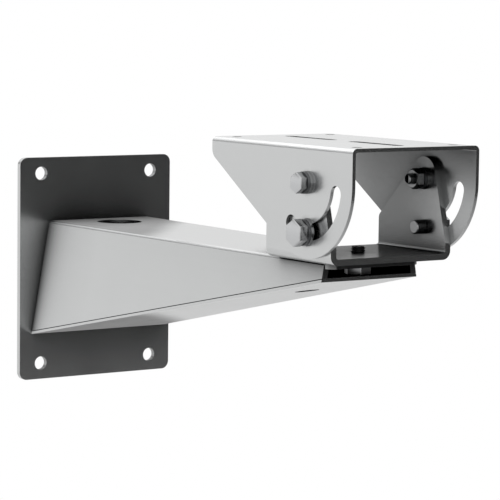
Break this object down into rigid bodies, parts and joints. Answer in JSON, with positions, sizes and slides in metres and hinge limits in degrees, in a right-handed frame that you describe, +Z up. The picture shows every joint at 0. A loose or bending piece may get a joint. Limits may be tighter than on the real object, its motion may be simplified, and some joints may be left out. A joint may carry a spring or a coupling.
{
  "type": "camera wall bracket",
  "caption": "Wall bracket for a security camera: flat wall plate, tapered box arm and a two-part yoke that turns and tips to aim the camera.",
  "frame": {"origin": "middle of the wall plate's back face, on the wall, in the middle of its four screw holes", "axes": "+X out of the wall along the arm, +Y across the arm, +Z up"},
  "size_m": [0.33, 0.11, 0.163],
  "materials": {
    "satin_steel_sheet": "satin",
    "steel_fastener": "satin"
  },
  "bodies": {
    "arm": {"wall_plate": "satin_steel_sheet", "arm_shell": "satin_steel_sheet", "arm_floor": "satin_steel_sheet"},
    "swivel": {"swivel_yoke": "satin_steel_sheet", "pan_bolt": "steel_fastener", "pivot_bolt_left": "steel_fastener", "pivot_bolt_right": "steel_fastener", "pivot_washer_outer_left": "steel_fastener", "pivot_washer_outer_right": "steel_fastener", "pivot_washer_inner_left": "steel_fastener", "pivot_washer_inner_right": "steel_fastener", "pivot_spring_washer_left": "steel_fastener", "pivot_spring_washer_right": "steel_fastener", "pivot_head_spring_left": "steel_fastener", "pivot_head_spring_right": "steel_fastener", "pivot_nut_left": "steel_fastener", "pivot_nut_right": "steel_fastener", "lock_bolt_left": "steel_fastener", "lock_bolt_right": "steel_fastener", "lock_washer_left": "steel_fastener", "lock_washer_right": "steel_fastener", "lock_head_spring_left": "steel_fastener", "lock_head_spring_right": "steel_fastener"},
    "camera_head": {"camera_yoke": "satin_steel_sheet"}
  },
  "joints": [
    {"name": "pan", "type": "hinge", "parent": "arm", "child": "swivel", "pos_m": [0.2795, 0.0025, 0.03], "axis": [0, 0, 1], "continuous": true},
    {"name": "tilt", "type": "hinge", "parent": "swivel", "child": "camera_head", "pos_m": [0.2895, 0.0025, 0.073], "axis": [0, 1, 0], "range_deg": [-32, 78]}
  ]
}
